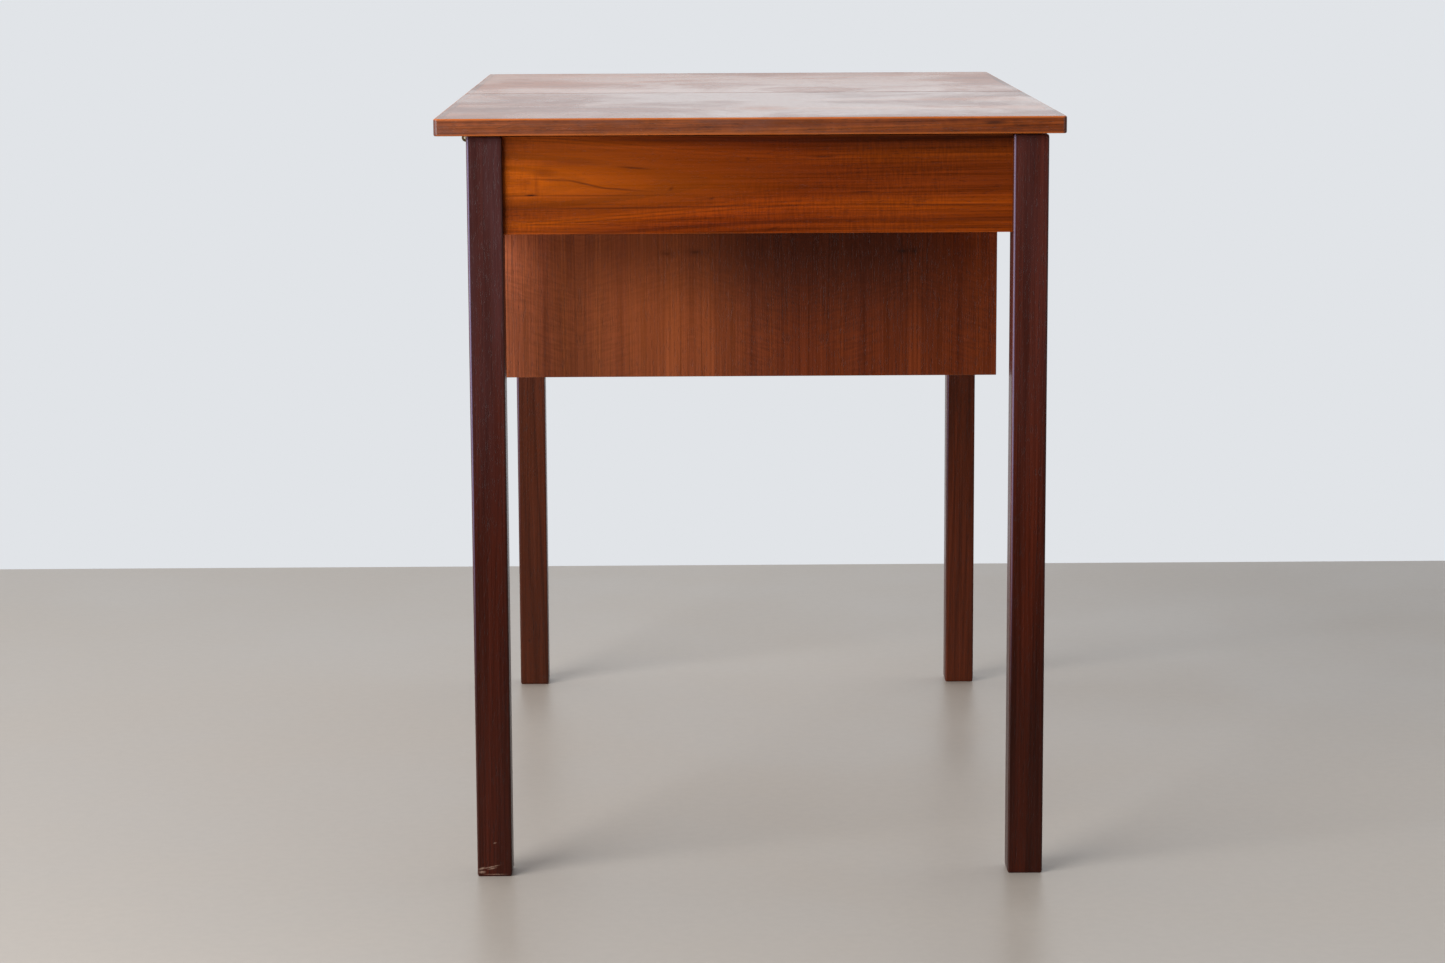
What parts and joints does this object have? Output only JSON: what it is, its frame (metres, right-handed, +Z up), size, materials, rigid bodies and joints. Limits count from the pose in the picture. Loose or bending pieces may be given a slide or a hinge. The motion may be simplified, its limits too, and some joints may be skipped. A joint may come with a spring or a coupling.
{
  "type": "sewing table",
  "caption": "Wooden sewing table with side-hinged lift-up lids, a deep hanging storage well, a sliding tray and a shallow compartment under the top.",
  "frame": {"origin": "on the floor, under the middle of the table top", "axes": "+Z up; -Y is the front short end, over the deep well; +Y the rear short end; -X the left long side, where the lids hinge"},
  "size_m": [0.582, 0.9, 0.72],
  "materials": {
    "teak_top": "oiled teak veneer, dull and slightly bleached",
    "teak_edge": "oiled solid teak strip",
    "teak_apron": "oiled teak, horizontal grain",
    "teak_well": "teak veneer, vertical grain",
    "dark_leg_wood": "dark stained wood, satin lacquer",
    "inner_wood": "plain beech, unfinished",
    "plywood": "birch plywood, unfinished",
    "brass_hinge": "dulled brass",
    "rubber_pad": "matt rubber"
  },
  "bodies": {
    "frame": {"front_left_leg": "dark_leg_wood", "front_right_leg": "dark_leg_wood", "rear_left_leg": "dark_leg_wood", "rear_right_leg": "dark_leg_wood", "front_apron": "teak_apron", "rear_apron": "teak_apron", "left_side_rail": "teak_apron", "right_side_rail": "teak_apron", "centre_rail": "inner_wood", "front_left_gusset": "inner_wood", "front_right_gusset": "inner_wood", "rear_left_gusset": "inner_wood", "rear_right_gusset": "inner_wood", "well_front_panel": "teak_well", "well_rear_panel": "teak_well", "well_left_side": "teak_well", "well_right_side": "teak_well", "well_floor": "plywood", "well_packing_strip": "inner_wood", "front_tray_runner": "inner_wood", "rear_tray_runner": "inner_wood", "front_shelf_floor": "plywood", "rear_compartment_floor": "plywood", "front_shelf_bearer": "inner_wood", "rear_left_bearer": "inner_wood", "rear_right_bearer": "inner_wood", "rear_compartment_divider": "inner_wood", "front_lid_bumper_1": "rubber_pad", "front_lid_bumper_2": "rubber_pad", "front_lid_hinge_1_rail_leaf": "brass_hinge", "front_lid_hinge_1_pin": "brass_hinge", "front_lid_hinge_2_rail_leaf": "brass_hinge", "front_lid_hinge_2_pin": "brass_hinge", "rear_lid_bumper_1": "rubber_pad", "rear_lid_bumper_2": "rubber_pad", "rear_lid_hinge_1_rail_leaf": "brass_hinge", "rear_lid_hinge_1_pin": "brass_hinge", "rear_lid_hinge_2_rail_leaf": "brass_hinge", "rear_lid_hinge_2_pin": "brass_hinge"},
    "front_lid": {"front_lid_panel": "teak_top", "front_lid_end_lipping": "teak_edge", "front_lid_seam_lipping": "teak_edge", "front_lid_left_lipping": "teak_edge", "front_lid_right_lipping": "teak_edge", "front_lid_hinge_1_lid_leaf": "brass_hinge", "front_lid_hinge_2_lid_leaf": "brass_hinge"},
    "rear_lid": {"rear_lid_panel": "teak_top", "rear_lid_end_lipping": "teak_edge", "rear_lid_seam_lipping": "teak_edge", "rear_lid_left_lipping": "teak_edge", "rear_lid_right_lipping": "teak_edge", "rear_lid_hinge_1_lid_leaf": "brass_hinge", "rear_lid_hinge_2_lid_leaf": "brass_hinge"},
    "spool_tray": {"tray_bottom": "plywood", "tray_left_wall": "inner_wood", "tray_right_wall": "inner_wood", "tray_front_wall": "inner_wood", "tray_rear_wall": "inner_wood", "tray_divider": "inner_wood"}
  },
  "joints": [
    {"name": "front_lid_hinge", "type": "hinge", "parent": "frame", "child": "front_lid", "pos_m": [-0.2645, -0.219, 0.6995], "axis": [0, -1, 0], "range_deg": [0, 104]},
    {"name": "rear_lid_hinge", "type": "hinge", "parent": "frame", "child": "rear_lid", "pos_m": [-0.2645, 0.219, 0.6995], "axis": [0, -1, 0], "range_deg": [0, 104]},
    {"name": "spool_tray_slide", "type": "slide", "parent": "frame", "child": "spool_tray", "axis": [1, 0, 0], "range_m": [0, 0.25]}
  ]
}
